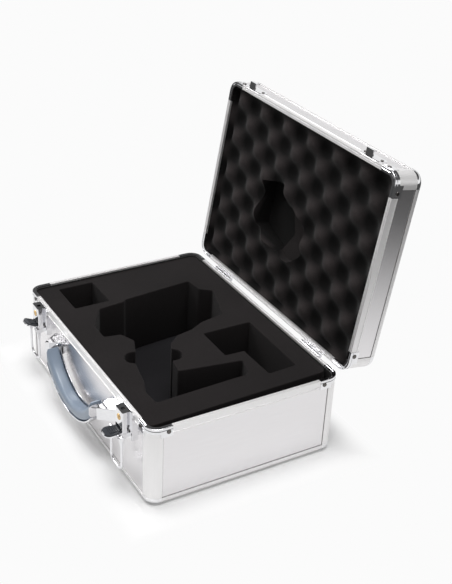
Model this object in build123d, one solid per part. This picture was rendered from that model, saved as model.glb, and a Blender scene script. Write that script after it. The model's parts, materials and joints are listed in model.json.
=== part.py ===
from build123d import *
import os

# Radio transmitter case: hinged aluminium-framed case, millimetres, +Z up.
# Origin: centre of the footprint on the floor. Front (handle, latches) is -Y.
# The lid is built in its closed place and then swung open about the hinge pins.

# Overall case
case_width = 330.0
case_depth = 231.5
base_height = 98.0
lid_height = 38.5
corner_radius = 14.0
base_edge_radius = 7.0
lid_edge_radius = 6.0
lid_open_angle = 99.0
joint_gap = 0.3

# Wall build-up: outer lip, board, inner lip of every extrusion
lip_thickness = 0.8
board_thickness = 2.4
board_grip = 3.0
rim_web = 2.6
seam = 0.06
cut_margin = 1.0
floor_rebate = 6.4
board_end_gap = 2.0

# Rails and caps
base_rail_height = 8.9
lid_rail_height = 8.0
base_corner_cover = 15.0
lid_corner_cover = 17.0

# Rim extrusions
base_rim_height = 8.6
lid_rim_height = 8.3
lid_rim_extra = 1.0
bead_radius = 0.7
rim_groove_inset = 1.5
rim_groove_width = 1.0
rim_groove_depth = 0.8

# Chromed rim corners
rim_corner_leg = 26.0
rim_corner_drop = 11.4
rim_corner_proud = 0.5
rim_corner_face = 6.5
rim_corner_notch = 12.0
rim_line_drop = 2.6
rim_line_width = 0.9
rim_line_depth = 0.6
rim_rivet_inset = 21.0
rim_rivet_drop = 5.5

# Lining and foam
lining_thickness = 0.5
base_lining_drop = 2.0
foam_side_gap = 0.1
foam_corner_radius = 6.0
base_foam_recess = 3.6
base_foam_floor_thickness = 16.0
foam_right_gap_front = 8.4
foam_right_gap_back = 14.4
lid_foam_recess = 2.7
lid_foam_side_gap = 0.3
egg_pitch_x = 50.2
egg_pitch_y = 45.8
egg_pit_radius = 15.5
egg_pit_tip_radius = 4.0
egg_pit_depth = 17.0
egg_rows = 4
egg_columns = 6
wheel_recess_radius = 33.0
wheel_recess_place = (-1.0, 22.0)
wheel_recess_depth = 17.0
body_recess_depth = 27.0

# Rivets
rivet_head_radius = 2.5
rivet_head_height = 0.9
rivet_shank_radius = 1.2
rivet_shank_length = 1.2
rim_rivet_roundness = 0.7
small_rivet_roundness = 0.6

# Hinges
hinge_axis_out = 3.4
hinge_axis_drop = 2.5
hinge_width = 37.0
hinge_left_inset = 67.2
hinge_right_inset = 63.7
knuckle_radius = 2.9
hinge_pin_radius = 1.2
pin_fit = 0.05
knuckle_gap = 0.3
hinge_knuckles = 5
leaf_thickness = 1.1
base_leaf_length = 24.0
lid_leaf_length = 22.0
knuckle_web = 0.4
hinge_rivet_pitch = 24.0
hinge_rivet_inset = 5.0

# Latches
latch_left_inset = 45.7
latch_right_inset = 50.8
latch_plate_width = 31.4
latch_plate_bottom = 61.0
latch_plate_top = 95.8
latch_plate_sheet = 1.0
latch_fold_height = 2.6
latch_corner_radius = 6.0
housing_width = 17.5
housing_bottom = 77.3
housing_cheek_low = 71.0
housing_cheek_roundness = 3.0
housing_top = 97.0
housing_out = 10.5
housing_sheet = 1.0
housing_hole = 4.2
key_plug_radius = 3.5
key_plug_up = 88.0
key_plug_proud = 0.5
key_plug_length = 6.0
key_slot_width = 1.1
key_slot_length = 4.6
key_slot_depth = 1.5
lever_pivot_out = 8.0
lever_pivot_up = 66.7
loop_pivot_out = 13.2
loop_pivot_up = 68.7
lever_pin_radius = 1.2
lever_pin_press = 0.01
lever_ear_sheet = 1.2
lever_ear_radius = 3.1
lever_width = 17.5
lever_plate_up = 72.2
lever_plate_sheet = 1.5
lever_root_out = 5.0
lever_tip_out = 28.6
lever_tip_roundness = 0.7
left_lever_lift = 23.0
lever_neck_width = 15.3
lever_neck_out = 14.5
lever_flare_out = 17.0
thumb_pad_thickness = 1.5
thumb_pad_root = 6.5
thumb_pad_margin = 0.6
thumb_rib_count = 7
thumb_rib_width = 1.3
thumb_rib_height = 0.9
fixed_ear_gap = 0.55
fixed_ear_rise = 1.8
fixed_ear_sheet = 1.2
loop_wire_radius = 1.4
loop_leg_spacing = 25.5
loop_length = 40.8
loop_corner_radius = 4.0
loop_bottom_radius = 8.0
loop_eye_radius = 2.5
loop_eye_length = 9.5
loop_eye_sheet = 2.4
loop_pin_fit = 0.06
loop_end_inset = 0.1
latch_rivet_spacing = 25.0
latch_rivet_up = 70.0
latch_rivet_radius = 1.8

# Keepers on the lid
keeper_width = 38.0
keeper_bottom = 99.6
keeper_top = 112.6
keeper_sheet = 1.2
keeper_ledge_top = 100.4
keeper_ledge_sheet = 1.2
keeper_hook_width = 12.0
keeper_hook_out = 9.5
keeper_lip_sheet = 1.1
keeper_lip_top = 103.7
keeper_rivet_spacing = 29.0

# Handle
handle_end_drop = 4.81
handle_bow_spread = 21.8
handle_thickness = 14.5
handle_inner_out = 4.6
handle_outer_out = 20.5
handle_end_gap = 2.0
handle_end_plate = 1.2
handle_end_plate_low = 55.0
handle_end_plate_high = 70.6
handle_end_plate_round = 4.0
grip_sweep = 61.0
band_sweep = 50.0
handle_section_round = 5.0
handle_shell_sheet = 1.6
handle_strap_sheet = 1.2
sheet_roundness = 0.4
handle_strap_gap = 0.05
handle_strap_width = 11.0
handle_pivot_out = 9.0
handle_pivot_up = 67.0
handle_pin_radius = 2.4
handle_pin_depth = 3.2
handle_pin_length = 14.0
bracket_inset = 78.0
bracket_length = 24.8
bracket_slope_length = 14.0
bracket_out = 18.0
bracket_low = 60.0
bracket_high = 75.0
bracket_round = 1.0
bracket_bore_margin = 0.7

os.makedirs("parts", exist_ok=True)

half_width = case_width / 2
half_depth = case_depth / 2
wall = lip_thickness * 2 + board_thickness
lid_bottom = base_height + joint_gap
lid_top = base_height + lid_height
front = -half_depth
hinge_y = half_depth + hinge_axis_out
hinge_z = base_height - hinge_axis_drop
hinge_axis = Axis((0, hinge_y, hinge_z), (1, 0, 0))
board_end = corner_radius - board_end_gap
corner_signs = [(-1, -1), (1, -1), (1, 1), (-1, 1)]
latch_left_x = -half_width + latch_left_inset
latch_right_x = half_width - latch_right_inset
bracket_outer_x = half_width - bracket_inset
bracket_tip_x = bracket_outer_x - bracket_slope_length
bracket_inner_x = bracket_outer_x - bracket_length
bracket_bore_inner_x = bracket_inner_x - bracket_bore_margin
handle_half_span = bracket_inner_x - handle_end_gap
handle_pin_inner_x = handle_half_span - handle_pin_depth
handle_pin_outer_x = handle_pin_inner_x + handle_pin_length
handle_outer_radius = handle_half_span + handle_bow_spread
handle_inner_radius = handle_outer_radius - handle_thickness
handle_mid_radius = (handle_outer_radius + handle_inner_radius) / 2
handle_bow_rise = (handle_mid_radius**2 - handle_half_span**2) ** 0.5
handle_arc_up = handle_pivot_up + handle_bow_rise - handle_end_drop
hinge_left_x = -half_width + hinge_left_inset
hinge_right_x = half_width - hinge_right_inset


def save(shape, name):
    shape.label = name
    export_step(shape, os.path.join("parts", name + ".step"))


def save_lid(shape, name):
    save(shape.rotate(hinge_axis, -lid_open_angle), name)


def block(x0, x1, y0, y1, z0, z1):
    size = Box(abs(x1 - x0), abs(y1 - y0), abs(z1 - z0))
    return Pos((x0 + x1) / 2, (y0 + y1) / 2, (z0 + z1) / 2) * size


def front_block(x0, x1, out0, out1, z0, z1):
    return block(x0, x1, front - out0, front - out1, z0, z1)


def slab(width, depth, radius, z0, z1):
    return extrude(Pos(0, 0, z0) * RectangleRounded(width, depth, radius), z1 - z0)


def inset_slab(inset, z0, z1):
    radius = corner_radius - inset
    return slab(case_width - 2 * inset, case_depth - 2 * inset, radius, z0, z1)


def rod_x(x0, x1, y, z, radius):
    return Pos((x0 + x1) / 2, y, z) * Rot(0, 90, 0) * Cylinder(radius, abs(x1 - x0))


def rod_y(x, y0, y1, z, radius):
    return Pos(x, (y0 + y1) / 2, z) * Rot(90, 0, 0) * Cylinder(radius, abs(y1 - y0))


def group(shapes):
    return Compound(children=[s for item in shapes for s in item.solids()])


# A straight run of wall on one side, and a corner square
def run_block(side, cover, reach, z0, z1):
    x_run = half_width - cover
    y_run = half_depth - cover
    proud = bead_radius + rim_corner_proud
    if side == "front":
        return block(-x_run, x_run, front - proud, front + reach, z0, z1)
    if side == "back":
        return block(-x_run, x_run, half_depth - reach, half_depth + proud, z0, z1)
    if side == "left":
        return block(-half_width - proud, -half_width + reach, -y_run, y_run, z0, z1)
    return block(half_width - reach, half_width + proud, -y_run, y_run, z0, z1)


def corner_block(sign_x, sign_y, cover, z0, z1):
    outer_x = sign_x * (half_width + rim_corner_proud)
    outer_y = sign_y * (half_depth + rim_corner_proud)
    inner_x = sign_x * (half_width - cover)
    inner_y = sign_y * (half_depth - cover)
    return block(inner_x, outer_x, inner_y, outer_y, z0, z1)


sides = ["front", "back", "left", "right"]


# Boards are let into the extrusions by the same grip all round
def board(side, z0, z1):
    x_end = half_width - board_end
    y_end = half_depth - board_end
    near = lip_thickness
    far = lip_thickness + board_thickness
    if side == "front":
        return block(-x_end, x_end, front + near, front + far, z0, z1)
    if side == "back":
        return block(-x_end, x_end, half_depth - far, half_depth - near, z0, z1)
    if side == "left":
        return block(-half_width + near, -half_width + far, -y_end, y_end, z0, z1)
    return block(half_width - far, half_width - near, -y_end, y_end, z0, z1)


# One bead along the free edge of a rim, with gaps under the fittings
def rim_bead(side, z, cover):
    x_run = half_width - cover
    y_run = half_depth - cover
    if side == "front":
        return rod_x(-x_run, x_run, front, z, bead_radius)
    if side == "back":
        return rod_x(-x_run, x_run, half_depth, z, bead_radius)
    if side == "left":
        return rod_y(-half_width, -y_run, y_run, z, bead_radius)
    return rod_y(half_width, -y_run, y_run, z, bead_radius)


def fitting_gaps(z0, z1, plate_half):
    gaps = []
    for x in [latch_left_x, latch_right_x]:
        gaps.append(front_block(x - plate_half, x + plate_half, 0, wall, z0, z1))
    for x in [hinge_left_x, hinge_right_x]:
        half = hinge_width / 2 + seam
        gaps.append(block(x - half, x + half, half_depth, half_depth + wall, z0, z1))
    return gaps


# The closing faces of both rims have a shallow groove all the way round
def rim_groove(z0, z1):
    outer = inset_slab(rim_groove_inset, z0, z1)
    return outer - inset_slab(rim_groove_inset + rim_groove_width, z0, z1)


def rims(shell, boards, groove, z0, z1, bead_z, plate_half):
    pieces = []
    gaps = fitting_gaps(z0 - cut_margin, z1 + cut_margin, plate_half)
    for side in sides:
        leg = rim_corner_leg + seam
        body = shell & run_block(side, leg, wall + lid_rim_extra, z0, z1)
        body = body + rim_bead(side, bead_z, leg) - boards[side] - groove
        for gap in gaps:
            body = body - gap
        pieces.append(body)
    return group(pieces)


def rivet_at_front(x, z, out):
    head = rod_y(x, front - out, front - out - rivet_head_height, z, rivet_head_radius)
    head = fillet(head.edges().sort_by(Axis.Y)[0], rivet_head_height * rim_rivet_roundness)
    shank = rod_y(x, front - out, front - out + rivet_shank_length, z, rivet_shank_radius)
    return head + shank


def rivet(x, y, z, direction):
    base = rivet_at_front(0, 0, 0).moved(Location((0, -front, 0)))
    turns = {"front": 0, "right": 90, "back": 180, "left": -90}
    return Pos(x, y, z) * Rot(0, 0, turns[direction]) * base


def rim_rivet_places(z):
    places = []
    x_at = half_width - rim_rivet_inset
    y_at = half_depth - rim_rivet_inset
    x_out = half_width + rim_corner_proud
    y_out = half_depth + rim_corner_proud
    for sign_x, sign_y in corner_signs:
        places.append((sign_x * x_at, sign_y * y_out, z, "front" if sign_y < 0 else "back"))
        places.append((sign_x * x_out, sign_y * y_at, z, "right" if sign_x > 0 else "left"))
    return places


# A line is pressed round each chromed corner
def corner_line(z0, z1):
    outer = inset_slab(-rim_corner_proud - cut_margin, z0, z1)
    return outer - inset_slab(rim_line_depth - rim_corner_proud, z0, z1)


# Chromed corner: a capping over the rim ends, with rivet holes. Between its two tabs
# it is narrower, and the corner rail fills the notch
def rim_corners(cavity, boards, groove, z0, z1, rivets, round_top):
    capping = inset_slab(-rim_corner_proud, z0, z1)
    edge_face = capping.faces().sort_by(Axis.Z)[-1 if round_top else 0]
    capping = fillet(edge_face.edges(), rim_corner_proud)
    capping = capping - cavity - groove
    if round_top:
        line = corner_line(z1 - rim_line_drop - rim_line_width, z1 - rim_line_drop)
        notch = (z0, z1 - rim_corner_face)
    else:
        line = corner_line(z0 + rim_line_drop, z0 + rim_line_drop + rim_line_width)
        notch = (z0 + rim_corner_face, z1)
    capping = capping - line
    for sign_x, sign_y in corner_signs:
        capping = capping - corner_block(sign_x, sign_y, rim_corner_notch, *notch)
    for side in sides:
        capping = capping - boards[side]
    for tool in rivets:
        capping = capping - tool
    pieces = []
    for sign_x, sign_y in corner_signs:
        pieces.append(capping & corner_block(sign_x, sign_y, rim_corner_leg, z0, z1))
    return group(pieces)


# Base shell with its boards taken out of it
base_floor_top = lip_thickness + board_thickness
base_outer = inset_slab(0, 0, base_height)
base_outer = fillet(base_outer.faces().sort_by(Axis.Z)[0].edges(), base_edge_radius)
base_cavity = inset_slab(wall, base_floor_top, base_height + cut_margin)
base_board_low = base_rail_height - board_grip
base_board_high = base_height - rim_web
base_boards = {side: board(side, base_board_low, base_board_high) for side in sides}
floor_inset = base_edge_radius - board_end_gap
floor_lip = base_edge_radius + floor_rebate
base_floor = inset_slab(floor_inset, lip_thickness, base_floor_top)
base_shell = base_outer - base_cavity - base_floor
for side in sides:
    base_shell = base_shell - base_boards[side]

# The floor board is rebated, so that its underside is flush with the rails
floor_pad = inset_slab(floor_lip, 0, lip_thickness)
base_shell = base_shell - inset_slab(floor_lip - seam, 0, lip_thickness)
save(base_floor + floor_pad, "base_floor_panel")
for side in sides:
    save(base_boards[side], "base_" + side + "_panel")

rim_low = base_height - base_rim_height
cap_low = base_height - rim_corner_drop
notch_fill = rim_corner_notch - seam
floor_rail_reach = floor_lip + seam


def base_corner_rails():
    pieces = []
    for sx, sy in corner_signs:
        low = base_rail_height + seam
        region = corner_block(sx, sy, base_corner_cover, low, cap_low - seam)
        high = base_height - rim_corner_face - seam
        region = region + corner_block(sx, sy, notch_fill, cap_low - seam, high)
        pieces.append(base_shell & region)
    return group(pieces)


def base_bottom_rails():
    pieces = []
    cover = base_corner_cover + seam
    for side in sides:
        region = run_block(side, cover, floor_rail_reach, 0, base_rail_height)
        pieces.append(base_shell & region)
    return group(pieces)


def base_bottom_corners():
    pieces = []
    for sx, sy in corner_signs:
        pieces.append(base_shell & corner_block(sx, sy, base_corner_cover, 0, base_rail_height))
    return group(pieces)


base_rivet_z = base_height - rim_rivet_drop
base_rivets = [rivet(*place) for place in rim_rivet_places(base_rivet_z)]
plate_gap = latch_plate_width / 2 + seam

save(base_corner_rails(), "base_corner_rails")
save(base_bottom_rails(), "base_bottom_rails")
save(base_bottom_corners(), "base_bottom_corners")
base_bead_z = rim_low + bead_radius
base_groove = rim_groove(base_height - rim_groove_depth, base_height)
base_rims = rims(base_shell, base_boards, base_groove, rim_low, base_height, base_bead_z, plate_gap)
save(base_rims, "base_rim_rails")
base_caps = rim_corners(
    base_cavity, base_boards, base_groove, cap_low, base_height, base_rivets, True
)
save(base_caps, "base_rim_corners")
save(group(base_rivets), "base_rim_rivets")

# Lining glued round the inside of the base
lining_high = base_height - base_lining_drop
lining = inset_slab(wall, base_floor_top, lining_high)
lining = lining - inset_slab(wall + lining_thickness, base_floor_top, lining_high)
save(lining, "base_lining")

# Base foam: a thick cut tray on a plain sheet
foam_inset = wall + lining_thickness + foam_side_gap
foam_floor_top = base_floor_top + base_foam_floor_thickness
foam_top = base_height - base_foam_recess
foam_sheet = inset_slab(foam_inset, base_floor_top, foam_floor_top)
save(foam_sheet, "base_foam_floor")

# Pocket outlines, drawn for the driving width and depth and stretched with them
drawn_width = 330.0
drawn_depth = 231.5
stretch_x = case_width / drawn_width
stretch_y = case_depth / drawn_depth
pocket_outline = [
    (-88.9, -24.2), (-92.7, -20.9), (-101.5, 70), (-77.7, 72.7), (-67.4, 86.4),
    (-12.7, 68.6), (-6.8, 37.6), (3.1, 18.8), (7.5, -2.1), (20.3, -17.4),
    (56.8, -33.7), (74.8, -36.5), (86.7, 37.9), (112.5, 29.5), (115.8, -63.1),
    (117.1, -84.3), (94.4, -85.6), (76.8, -78.8), (40.5, -71.2), (20.5, -61.5),
    (-4.2, -51.7), (-22.3, -59.9), (-25.6, -79.3), (-50.3, -79.6), (-85.1, -58.4),
]
corner_pocket_outline = [(17.8, 26.5), (18.2, 88), (120.5, 86.5), (122, 51), (70, 50), (69, 26)]
square_pocket_outline = [(-150, -83.5), (-99, -83.5), (-99, -39.5), (-150, -39.5)]
finger_recess_radius = 11.5
finger_recesses = [(42, -27), (29, -67)]


def stretched(outline):
    return [(x * stretch_x, y * stretch_y) for x, y in outline]


def prism(outline, z0, z1):
    face = make_face(Polyline(*[(x, y, z0) for x, y in outline], close=True))
    return extrude(face, z1 - z0, dir=(0, 0, 1))


def foam_tray():
    x_left = -half_width + foam_inset
    x_front = half_width - foam_inset - foam_right_gap_front
    x_back = half_width - foam_inset - foam_right_gap_back
    y_end = half_depth - foam_inset
    outline = [(x_left, -y_end), (x_front, -y_end), (x_back, y_end), (x_left, y_end)]
    tray = prism(outline, foam_floor_top, foam_top)
    right_edges = tray.edges().filter_by(Axis.Z).sort_by(Axis.X)[-2:]
    tray = fillet(right_edges, foam_corner_radius)
    tray = tray & inset_slab(foam_inset, foam_floor_top, foam_top)
    low = foam_floor_top
    high = foam_top + cut_margin
    for pocket in [pocket_outline, corner_pocket_outline, square_pocket_outline]:
        tray = tray - prism(stretched(pocket), low, high)
    for x, y in stretched(finger_recesses):
        recess = Pos(x, y, (low + high) / 2) * Cylinder(finger_recess_radius, high - low)
        tray = tray - recess
    return tray


save(foam_tray(), "base_foam_tray")

# Lid shell, built closed
lid_board_low = lid_bottom + rim_web
lid_board_high = lid_top - lid_rail_height + board_grip
lid_roof_low = lid_top - lip_thickness - board_thickness
lid_rim_high = lid_bottom + lid_rim_height
lid_outer = inset_slab(0, lid_bottom, lid_top)
lid_outer = fillet(lid_outer.faces().sort_by(Axis.Z)[-1].edges(), lid_edge_radius)
lid_rim_cavity = inset_slab(wall + lid_rim_extra, lid_bottom - cut_margin, lid_rim_high)
lid_cavity = lid_rim_cavity + inset_slab(wall, lid_rim_high, lid_roof_low)
lid_boards = {side: board(side, lid_board_low, lid_board_high) for side in sides}
lid_roof = inset_slab(floor_inset, lid_roof_low, lid_top - lip_thickness)
lid_shell = lid_outer - lid_cavity - lid_roof
for side in sides:
    lid_shell = lid_shell - lid_boards[side]

save_lid(lid_roof, "lid_top_panel")
for side in sides:
    save_lid(lid_boards[side], "lid_" + side + "_panel")

lid_cap_high = lid_bottom + rim_corner_drop


def lid_corner_rails():
    pieces = []
    low = lid_cap_high + seam
    high = lid_top - lid_rail_height - seam
    for sx, sy in corner_signs:
        region = corner_block(sx, sy, lid_corner_cover, low, high)
        notch_low = lid_bottom + rim_corner_face + seam
        region = region + corner_block(sx, sy, notch_fill, notch_low, low)
        pieces.append(lid_shell & region)
    return group(pieces)


def lid_top_rails():
    pieces = []
    cover = lid_corner_cover + seam
    for side in sides:
        region = run_block(side, cover, floor_lip, lid_top - lid_rail_height, lid_top)
        pieces.append(lid_shell & region)
    return group(pieces)


def lid_top_corners():
    pieces = []
    for sx, sy in corner_signs:
        region = corner_block(sx, sy, lid_corner_cover, lid_top - lid_rail_height, lid_top)
        pieces.append(lid_shell & region)
    return group(pieces)


lid_rivet_z = lid_bottom + rim_rivet_drop
lid_rivets = [rivet(*place) for place in rim_rivet_places(lid_rivet_z)]
keeper_gap = keeper_width / 2 + seam

save_lid(lid_corner_rails(), "lid_corner_rails")
save_lid(lid_top_rails(), "lid_top_rails")
save_lid(lid_top_corners(), "lid_top_corners")
lid_bead_z = lid_rim_high - bead_radius
lid_groove = rim_groove(lid_bottom, lid_bottom + rim_groove_depth)
lid_rims = rims(lid_shell, lid_boards, lid_groove, lid_bottom, lid_rim_high, lid_bead_z, keeper_gap)
save_lid(lid_rims, "lid_rim_rails")
lid_caps = rim_corners(
    lid_cavity, lid_boards, lid_groove, lid_bottom, lid_cap_high, lid_rivets, False
)
save_lid(lid_caps, "lid_rim_corners")
save_lid(group(lid_rivets), "lid_rim_rivets")

# Lid foam: egg-crate pits and a recess for the transmitter's top
body_recess_outline = [(-70, 36), (-66, -22), (-22, -32), (-14, -10), (0, 22), (-20, 53)]


def lid_foam():
    low = lid_bottom + lid_foam_recess
    foam = inset_slab(wall + lid_rim_extra + lid_foam_side_gap, low, lid_roof_low)
    pits = []
    middle = low + egg_pit_depth / 2
    pit = Cone(egg_pit_radius, egg_pit_tip_radius, egg_pit_depth)
    for row in range(-egg_rows, egg_rows + 1):
        shift = egg_pitch_x / 2 if row % 2 else 0
        for column in range(-egg_columns, egg_columns + 1):
            x = column * egg_pitch_x + shift
            y = row * egg_pitch_y / 2
            inside_x = abs(x) < half_width - egg_pit_radius - wall
            inside_y = abs(y) < half_depth - egg_pit_radius - wall
            if inside_x and inside_y:
                pits.append(Pos(x, y, middle) * pit)
    foam = foam - pits
    foam = foam - prism(stretched(body_recess_outline), low, low + body_recess_depth)
    wheel = Cylinder(wheel_recess_radius, wheel_recess_depth)
    x, y = stretched([wheel_recess_place])[0]
    return foam - Pos(x, y, low + wheel_recess_depth / 2) * wheel


save_lid(lid_foam(), "lid_foam")


# Hinges: alternate knuckles on one pin
def knuckle_spans(x_mid):
    pitch = hinge_width / hinge_knuckles
    spans = []
    for index in range(hinge_knuckles):
        x0 = x_mid - hinge_width / 2 + index * pitch
        spans.append((x0 + knuckle_gap / 2, x0 + pitch - knuckle_gap / 2))
    return spans


def hinge_leaf(x_mid, spans, z0, z1, back_z0, back_z1, web_z):
    x0 = x_mid - hinge_width / 2
    x1 = x_mid + hinge_width / 2
    leaf = block(x0, x1, half_depth, half_depth + leaf_thickness, z0, z1)
    leaf = leaf + block(x0, x1, half_depth - lip_thickness, half_depth, back_z0, back_z1)
    for a, b in spans:
        y0 = half_depth + knuckle_web
        leaf = leaf + rod_x(a, b, hinge_y, hinge_z, knuckle_radius)
        leaf = leaf + block(a, b, y0, y0 + leaf_thickness, hinge_z, web_z)
    bore = hinge_pin_radius + pin_fit
    return leaf - rod_x(x0 - cut_margin, x1 + cut_margin, hinge_y, hinge_z, bore)


hinge_places = [hinge_left_x, hinge_right_x]
knuckle_clear = knuckle_radius + knuckle_gap
leaf_rebate = 1.0


def base_hinge_leaves():
    leaves = []
    z0 = hinge_z - base_leaf_length
    z1 = hinge_z - knuckle_clear
    for x in hinge_places:
        spans = knuckle_spans(x)[0::2]
        leaves.append(hinge_leaf(x, spans, z0, z1, z0, rim_low - seam, z1 - leaf_rebate))
    return leaves


def lid_hinge_leaves():
    leaves = []
    z0 = hinge_z + knuckle_clear
    z1 = hinge_z + lid_leaf_length
    for x in hinge_places:
        spans = knuckle_spans(x)[1::2]
        leaves.append(hinge_leaf(x, spans, z0, z1, lid_rim_high + seam, z1, z0 + leaf_rebate))
    return leaves


def hinge_pins():
    half = hinge_width / 2
    rods = [rod_x(x - half, x + half, hinge_y, hinge_z, hinge_pin_radius) for x in hinge_places]
    return group(rods)


def hinge_rivets(z_values):
    pieces = []
    for x in hinge_places:
        for dx in [-hinge_rivet_pitch / 2, hinge_rivet_pitch / 2]:
            for z in z_values:
                pieces.append(rivet(x + dx, half_depth + leaf_thickness, z, "back"))
    return pieces


base_leaf_rivets = hinge_rivets([hinge_z - base_leaf_length + hinge_rivet_inset])
lid_leaf_rivets = hinge_rivets([hinge_z + lid_leaf_length - hinge_rivet_inset])


def riveted(leaves, rivets):
    bodies = []
    for leaf in leaves:
        for tool in rivets:
            leaf = leaf - tool
        bodies.append(leaf)
    return group(bodies)


save(riveted(base_hinge_leaves(), base_leaf_rivets), "hinge_base_leaves")
save(hinge_pins(), "hinge_pins")
save(group(base_leaf_rivets), "hinge_base_rivets")
save_lid(riveted(lid_hinge_leaves(), lid_leaf_rivets), "hinge_lid_leaves")
save_lid(group(lid_leaf_rivets), "hinge_lid_rivets")


# Latches
lever_y = front - lever_pivot_out
loop_y = front - loop_pivot_out


def front_rivet(x, z, out, radius):
    head = rod_y(x, front - out, front - out - rivet_head_height, z, radius)
    head = fillet(head.edges().sort_by(Axis.Y)[0], rivet_head_height * small_rivet_roundness)
    shank = rod_y(x, front - out, front - out + latch_plate_sheet, z, rivet_shank_radius)
    return head + shank


def latch_rivets(x):
    half = latch_rivet_spacing / 2
    out = latch_plate_sheet
    places = [x - half, x + half]
    return [front_rivet(place, latch_rivet_up, out, latch_rivet_radius) for place in places]


def latch_plate(x):
    half = latch_plate_width / 2
    z_mid = (latch_plate_bottom + latch_plate_top) / 2
    z_size = latch_plate_top - latch_plate_bottom
    sheet = RectangleRounded(latch_plate_width, z_size, latch_corner_radius)
    depth = lip_thickness + latch_fold_height
    plate = Pos(x, front + lip_thickness, z_mid) * Rot(90, 0, 0) * extrude(sheet, depth)
    inner = RectangleRounded(
        latch_plate_width - 2 * latch_plate_sheet,
        z_size + 2 * latch_corner_radius,
        latch_corner_radius,
    )
    hollow = Pos(x, front - latch_plate_sheet, z_mid) * Rot(90, 0, 0) * extrude(inner, depth)
    plate = plate - hollow
    x0 = x - half - cut_margin
    x1 = x + half + cut_margin
    plate = plate - block(x0, x1, front, front + wall, rim_low - seam, base_height)
    spread = lever_neck_width / 2 - lever_ear_sheet - fixed_ear_gap
    for sign in [-1, 1]:
        x0 = x + sign * (spread - fixed_ear_sheet)
        x1 = x + sign * spread
        z0 = lever_pivot_up - lever_ear_radius
        z1 = lever_pivot_up + fixed_ear_rise
        ear = front_block(x0, x1, latch_plate_sheet, lever_pivot_out, z0, z1)
        plate = plate + ear + rod_x(x0, x1, lever_y, lever_pivot_up, lever_ear_radius)
    hole = lever_pin_radius + lever_pin_press
    plate = plate - rod_x(x - half, x + half, lever_y, lever_pivot_up, hole)
    for tool in latch_rivets(x):
        plate = plate - tool
    return plate


# The housing's cheeks reach lower than its front, on each side of the lever
def latch_housing(x):
    half = housing_width / 2
    sheet = housing_sheet
    out0 = latch_plate_sheet
    body = front_block(x - half, x + half, out0, housing_out, housing_cheek_low, housing_top)
    edges = body.edges().filter_by(Axis.Z).sort_by(Axis.Y)[:2]
    body = fillet(edges, sheet)
    inner = half - sheet
    body = body - front_block(
        x - inner,
        x + inner,
        out0,
        housing_out - sheet,
        housing_cheek_low,
        housing_top - sheet,
    )
    out1 = housing_out + cut_margin
    body = body - front_block(x - inner, x + inner, 0, out1, housing_cheek_low, housing_bottom)
    toe = housing_cheek_roundness
    toe_out = housing_out - toe
    toe_up = housing_cheek_low + toe
    corner = front_block(x - half, x + half, toe_out, out1, housing_cheek_low, toe_up)
    corner = corner - rod_x(x - half, x + half, front - toe_out, toe_up, toe)
    body = body - corner
    over = front_block(x - half, x + half, out0, 0, latch_plate_top, housing_top)
    body = body + over
    hole = housing_hole / 2
    mid = (out0 + housing_out) / 2
    z0 = housing_top - sheet - cut_margin
    z1 = housing_top + cut_margin
    body = body - front_block(x - hole, x + hole, mid - hole, mid + hole, z0, z1)
    bore = key_plug_radius + pin_fit
    y0 = front - housing_out
    return body - rod_y(x, y0 - cut_margin, y0 + sheet + cut_margin, key_plug_up, bore)


def key_plug(x):
    y0 = front - housing_out - key_plug_proud
    plug = rod_y(x, y0, y0 + key_plug_length, key_plug_up, key_plug_radius)
    half_w = key_slot_width / 2
    half_l = key_slot_length / 2
    z0 = key_plug_up - half_l
    z1 = key_plug_up + half_l
    return plug - block(x - half_w, x + half_w, y0 - cut_margin, y0 + key_slot_depth, z0, z1)


def lever_pin(x):
    half = lever_neck_width / 2
    return rod_x(x - half, x + half, lever_y, lever_pivot_up, lever_pin_radius)


# Each lever ear is a plate with round ends at the two pivots
def ear_plate(x0, x1):
    ends = [(lever_y, lever_pivot_up), (loop_y, loop_pivot_up)]
    circles = [Pos(y, z) * Circle(lever_ear_radius) for y, z in ends]
    outline = make_hull([edge for circle in circles for edge in circle.edges()])
    plane = Plane(origin=(min(x0, x1), 0, 0), x_dir=(0, 1, 0), z_dir=(1, 0, 0))
    return extrude(plane * outline, abs(x1 - x0))


# A tongue seen from above: a neck between the housing's cheeks that flares to a wide tip
def tongue(x, margin, root, z0, z1):
    neck = lever_neck_width / 2 - margin
    wide = lever_width / 2 - margin
    tip = lever_tip_out - margin
    half_outline = [
        (neck, root),
        (neck, lever_neck_out),
        (wide, lever_flare_out),
        (wide, tip),
    ]
    right_side = [(x + across, front - out) for across, out in half_outline]
    left_side = [(x - across, front - out) for across, out in reversed(half_outline)]
    face = make_face(Polyline(*right_side, *left_side, close=True))
    body = Pos(0, 0, z0) * extrude(face, z1 - z0, dir=(0, 0, 1))
    tip_edges = body.edges().filter_by(Axis.Z).sort_by(Axis.Y)[:2]
    return fillet(tip_edges, lever_width / 2 * lever_tip_roundness)


def latch_lever(x):
    half = lever_neck_width / 2
    z0 = lever_plate_up - lever_plate_sheet
    lever = tongue(x, 0, lever_root_out, z0, lever_plate_up)
    for sign in [-1, 1]:
        x0 = x + sign * (half - lever_ear_sheet)
        lever = lever + ear_plate(x0, x + sign * half)
    bore = lever_pin_radius + pin_fit
    x0 = x - half - cut_margin
    x1 = x + half + cut_margin
    lever = lever - rod_x(x0, x1, lever_y, lever_pivot_up, bore)
    bore = loop_wire_radius + loop_pin_fit
    return lever - rod_x(x0, x1, loop_y, loop_pivot_up, bore)


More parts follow.
